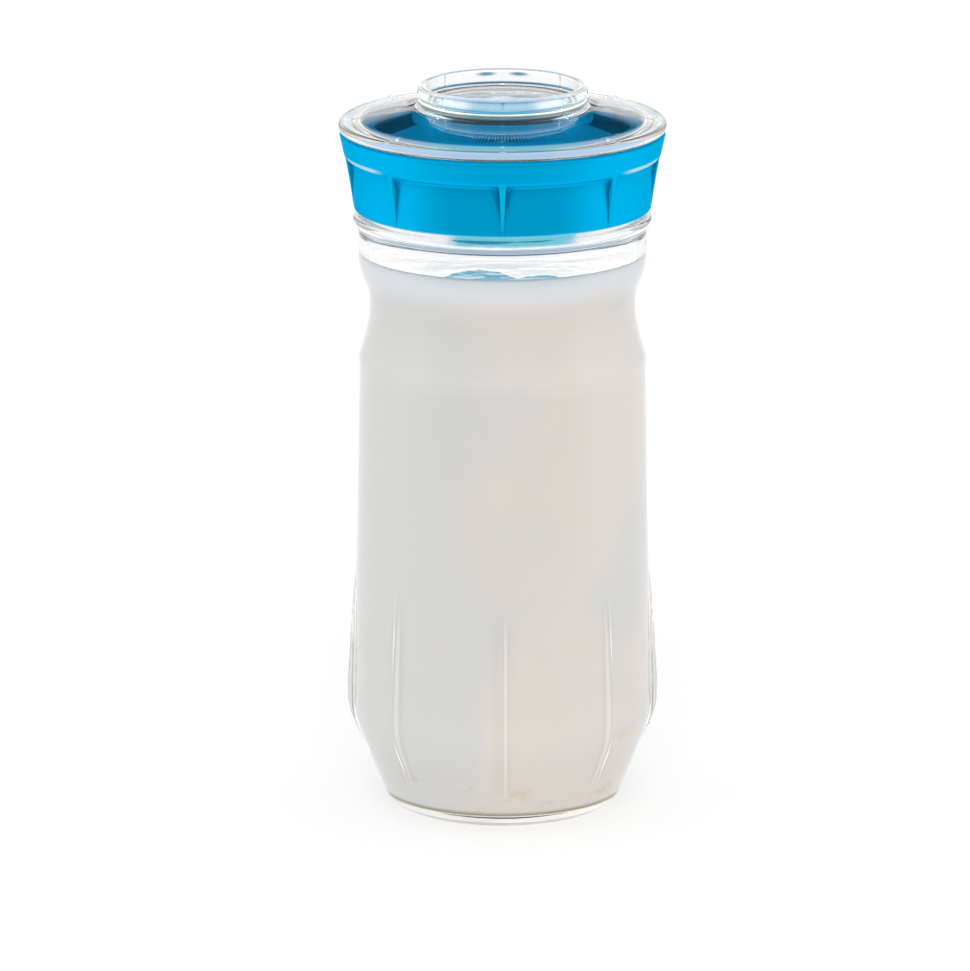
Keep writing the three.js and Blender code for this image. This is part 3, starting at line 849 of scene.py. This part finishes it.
# %% Finish of the clear plastic
def clear_moulding():
    material, start, place = new_finish("clear_moulding")
    roll = grain(place, 90, 2)
    scuff = grain(place, 500, 4).eased(0.58, 0.8)
    x, y, height, reach = polar(place)
    facing = facing_away(start)

    # painted light: the rim, the floor of the cup and its lip glow pale
    painted_rim_glow = reach.eased(RIM_RADIUS - 1.1, RIM_RADIUS - 0.4) * height.eased(RIM_FOOT + 0.7, RIM_FOOT + 1.2)
    painted_rim_glow = painted_rim_glow * (1 - facing).eased(0.1, 0.5)
    boss = (x * x).eased(150, 45) * y.eased(-18.5, -17.5) * y.eased(4, 2)
    floor = reach.eased(20.5, 19.5) * height.eased(CUP_FLOOR - 1.3, CUP_FLOOR - 0.5)
    floor = floor * (1 - boss) * facing.eased(0.5, 0.7)
    painted_lip_glow = reach.eased(CUP_RADIUS + 0.4, CUP_RADIUS - 0.2) * height.eased(CUP_TOP - 1.1, CUP_TOP - 0.5)
    edges = (painted_rim_glow * 0.75).most(floor * 0.6).most(painted_lip_glow * 0.85)

    # painted light: the wall of the cup and the shelf beside the rim glow bluish
    wall = reach.eased(CUP_RADIUS - 0.4, CUP_RADIUS - 0.1) * y.eased(8, -8)
    wall = wall * height.eased(219.3, 220) * height.eased(CUP_TOP - 0.8, CUP_TOP - 1.4)
    middle = (x * x).eased(150, 60)
    light = wall.blend(BLACK, middle.blend(colour(0.36, 0.46, 0.45), colour(0.2, 0.44, 0.46)))
    painted_shelf_glow = reach.eased(42.6, 44) * reach.eased(48.9, 48.6) * height.eased(212.9, 213.4)
    front = (x * x).eased(900, 200) * y.eased(-30, -38)
    light = painted_shelf_glow.blend(light, front.blend(colour(0.5, 0.48, 0.45), colour(0.36, 0.58, 0.52)))

    # painted shade in the foot of the cup and the lower edge of the rim,
    # and painted reflections of the lid in the far wall of the cup
    painted_cup_foot_shade = reach.eased(26.2, 26.7) * reach.eased(29.4, 28.8) * height.eased(217.6, 218)
    painted_cup_foot_shade = painted_cup_foot_shade * (x * x).eased(380, 200)
    painted_rim_shade = reach.eased(48.4, 49.2) * height.eased(RIM_FOOT + 1, RIM_FOOT + 0.5)
    aside = (abs(x) - 5) / 4
    above = (height - CUP_TOP + 1.5) / 0.9
    painted_lid_reflections = (aside * aside + above * above).eased(1, 0) * y.eased(5, 15)
    painted_lid_reflections = painted_lid_reflections * reach.eased(CUP_INSIDE + 0.3, CUP_INSIDE + 0.2)

    body = scuff.blend(colour(0.99, 0.995, 0.998), colour(0.96, 0.975, 0.98))
    body = painted_cup_foot_shade.blend(body, colour(0.01, 0.015, 0.015))
    body = painted_rim_shade.blend(body, colour(0.35, 0.42, 0.43))
    shader = start.node("ShaderNodeBsdfPrincipled", values={
        "Base Color": painted_lid_reflections.blend(body, colour(0.002, 0.12, 0.19)),
        "Roughness": scuff * 0.02,
        "IOR": 1.54,
        "Transmission Weight": 1.0,
        "Emission Color": edges.blend(light, colour(1, 0.95, 0.9)),
        "Emission Strength": 0.55,
        "Normal": bumps(roll, 0.03, 0.0008),
    })
    show(start, letting_light_in(start, shader, colour(0.7, 0.77, 0.82)))
    print("made the finish", material.name)
    return material


# %% [markdown]
# The wire goes out under the floor of the cup and the sloping deck, round the short skirt that sits in the
# channel of the lid and the rim that lies on it, and back over the deck to the shallow cup. Low lugs stand
# where the deck meets the rim and on the wall of the cup: the points near them move along their normals.

# %% Cover with its lugs
LUG_HEIGHT = 0.4
RIM_LUG_HALF = 1.3
CUP_LUG_HALF = 0.7
CUP_LUG_SHARE = 0.6
cover = wire(
    (0, 218.7), (20.5, 218.7, 1.5), (28.2, 216.4, 2), (43.5, 212.67, 0.8),
    (43.5, 209.3, 0.4), (45.3, 209.3, 0.4), (45.3, RIM_FOOT, 0.4), (RIM_RADIUS, RIM_FOOT, 1.4),
    (RIM_RADIUS, RIM_TOP, 1.5), (48.2, RIM_TOP, 0.4), (47.1, 214, 0.8), (CUP_RADIUS, CUP_FOOT, 2),
    (CUP_RADIUS, CUP_TOP, 1), (CUP_INSIDE, CUP_TOP, 0.8), (CUP_INSIDE, CUP_FLOOR, 1.4), (0, CUP_FLOOR),
)
rows(cover, 0.9, (43, 209), (51, 213))
rows(cover, 2)
turned(cover, 64, 0.8)
cover.normal_update()
for vert in cover.verts:
    radius = radius_of(vert.co)
    if radius > 25 and vert.co.z > 213.4 and outwards(vert) > -0.3 and vert.normal.z > -0.2:
        off = off_rib(vert.co)
        at_rim = ease(RIM_LUG_HALF, 0.2, off) * ease(43.5, 45, radius) * ease(49.7, 48.8, radius)
        at_cup = ease(CUP_LUG_HALF, 0.1, off) * ease(29.5, 28, radius) * ease(225, 223.5, vert.co.z)
        vert.co += vert.normal * (LUG_HEIGHT * max(at_rim, at_cup * CUP_LUG_SHARE))
finished(cover, "screw_cover", "cover", "clear_cover", clear_moulding())

# %% [markdown]
# ## The studio
# The jar stands on white paper in a white tent, and light comes evenly from all round. Clear pieces would
# have no edges there, so a few things are dark for them alone: what they mirror is dark in front and
# behind, and what they bend into view is dark in a strip overhead. The camera sees plain white.

# %% Light tent
TENT_DARK = colour(0.01, 0.05, 0.075)
world = bpy.data.worlds.new("tent")
bpy.context.scene.world = world
world.use_nodes = True
world.node_tree.nodes.clear()
sky = Field(world.node_tree)
direction = sky.node("ShaderNodeTexCoord", out="Generated")
up = sky.node("ShaderNodeSeparateXYZ", values={0: direction}, out="Z")
across = up.other("X")
along = up.other("Y")
camera_ray = sky.node("ShaderNodeLightPath", out="Is Camera Ray")
glossy = camera_ray.other("Is Glossy Ray")
bent = camera_ray.other("Is Transmission Ray")
behind = along.eased(0.3, 0.75) * up.eased(0.2, 0.35) * up.eased(0.93, 0.86)
before = along.eased(-0.25, -0.75) * up.eased(0.9, 0.75)
overhead = (across * across).eased(0.45, 0.25) * up.eased(0.05, 0.1)
dark = glossy * (bent * overhead).most((1 - bent) * behind.most(before))
sky.node("ShaderNodeOutputWorld", values={
    "Surface": sky.node("ShaderNodeBackground", values={
        "Color": dark.blend(WHITE, TENT_DARK),
        "Strength": camera_ray * 0.08 + 0.92,
    }),
})
print("the tent is white, and partly dark for mirrored and bent rays only")

# %% [markdown]
# The table is a long sheet of white paper. To the camera it is part diffuse and part glowing, so that it is
# white and still keeps the jar's shadow; to bent rays it is plain white, and mirrored rays see it fade
# towards the camera. For the light that bounces from it on to the jar it is pale paper and nothing more.

# %% Finish of the table
def white_table():
    material, start, place = new_finish("white_table")
    paper = grain(place, 30, 2)
    pale = start.node("ShaderNodeBsdfDiffuse", values={
        "Color": paper.blend(colour(0.88, 0.88, 0.88), colour(0.9, 0.9, 0.9)),
    })
    shadowed = start.node("ShaderNodeBsdfDiffuse", values={"Color": colour(0.55, 0.55, 0.55)})
    glow = start.node("ShaderNodeEmission", values={"Strength": 0.455})
    lit = start.node("ShaderNodeAddShader", values={0: shadowed, 1: glow})
    seen = start.node("ShaderNodeLightPath", out="Is Camera Ray")
    mirrored = seen.other("Is Glossy Ray")
    through = seen.other("Is Transmission Ray")
    y = polar(place)[1]
    near = mirrored * (1 - through) * y.eased(0, -500)
    dim = start.node("ShaderNodeEmission", values={"Strength": 0.05})
    lit = start.node("ShaderNodeMixShader", values={0: near, 1: lit, 2: dim})
    plain = start.node("ShaderNodeEmission", values={"Strength": 0.98})
    lit = start.node("ShaderNodeMixShader", values={0: through, 1: lit, 2: plain})
    looked_at = seen.most(mirrored).most(through)
    show(start, start.node("ShaderNodeMixShader", values={0: looked_at, 1: pale, 2: lit}))
    print("made the finish", material.name)
    return material


# %% [markdown]
# A grid gives the sheet, stretched from behind the camera to far behind the jar. It lies a hair under the
# foot of the glass, and it is stage and not part of the object.

# %% Table
PAPER_FRONT, PAPER_BACK = -8, 12
PAPER_HALF = 0.7
PAPER_DROP = 0.0002
ground = bmesh.new()
bmesh.ops.create_grid(ground, x_segments=4, y_segments=16, size=1)
for vert in ground.verts:
    share = (vert.co.y + 1) / 2
    vert.co = (vert.co.x * PAPER_HALF, PAPER_FRONT + share * (PAPER_BACK - PAPER_FRONT), 0)
table_mesh = bpy.data.meshes.new("table")
ground.to_mesh(table_mesh)
ground.free()
table_mesh.materials.append(white_table())
table = bpy.data.objects.new("table", table_mesh)
table.location.z = -PAPER_DROP
bpy.context.scene.collection.objects.link(table)
print("the table is", PAPER_BACK - PAPER_FRONT, "m long")

# %% [markdown]
# One soft box high above the camera lifts the front of the jar a little. Only its light is seen, never the
# box itself.

# %% Soft box
BOX_AIM = 0.12


def soft_box(name, place, size, power):
    """A large square lamp that faces the middle of the jar."""
    light = bpy.data.lights.new(name, "AREA")
    light.size = size
    light.energy = power
    lamp = bpy.data.objects.new(name, light)
    lamp.location = place
    aim = -lamp.location
    aim.z += BOX_AIM
    lamp.rotation_euler = aim.to_track_quat("-Z", "Y").to_euler()
    lamp.visible_camera = False
    lamp.visible_glossy = False
    lamp.visible_transmission = False
    bpy.context.scene.collection.objects.link(lamp)
    print(name, "gives", power, "watts")


soft_box("front_box", (0, -5, 5), 3, 90)

# %% [markdown]
# ## The camera
# The rings near the top of the jar look flatter than those near its foot, which tells how far off the
# camera stood: about 2.4 metres, with a long lens, and 14 degrees above the middle of the jar. A small
# shift of the lens puts the jar where it stands in the frame.

# %% Camera
FRAME_WIDTH = 970
FRAME_HEIGHT = 971
DISTANCE = 2.4
ELEVATION = math.radians(14)
AIM_HEIGHT = 0.11
FOCAL_PIXELS = 7824
AIM_X, AIM_Y = 502.5, 453

camera_data = bpy.data.cameras.new("camera")
camera_data.sensor_fit = "HORIZONTAL"
camera_data.sensor_width = 36
camera_data.lens = camera_data.sensor_width * FOCAL_PIXELS / FRAME_WIDTH
camera_data.shift_x = (FRAME_WIDTH / 2 - AIM_X) / FRAME_WIDTH
camera_data.shift_y = (AIM_Y - FRAME_HEIGHT / 2) / FRAME_WIDTH
camera_data.clip_end = 100
camera = bpy.data.objects.new("camera", camera_data)
camera.location = (0, -DISTANCE * math.cos(ELEVATION), AIM_HEIGHT + DISTANCE * math.sin(ELEVATION))
camera.rotation_euler = (math.pi / 2 - ELEVATION, 0, 0)
bpy.context.scene.collection.objects.link(camera)
bpy.context.scene.camera = camera
bpy.context.scene.view_settings.view_transform = "Standard"
print("lens of", round(camera_data.lens), "mm from", DISTANCE, "m")
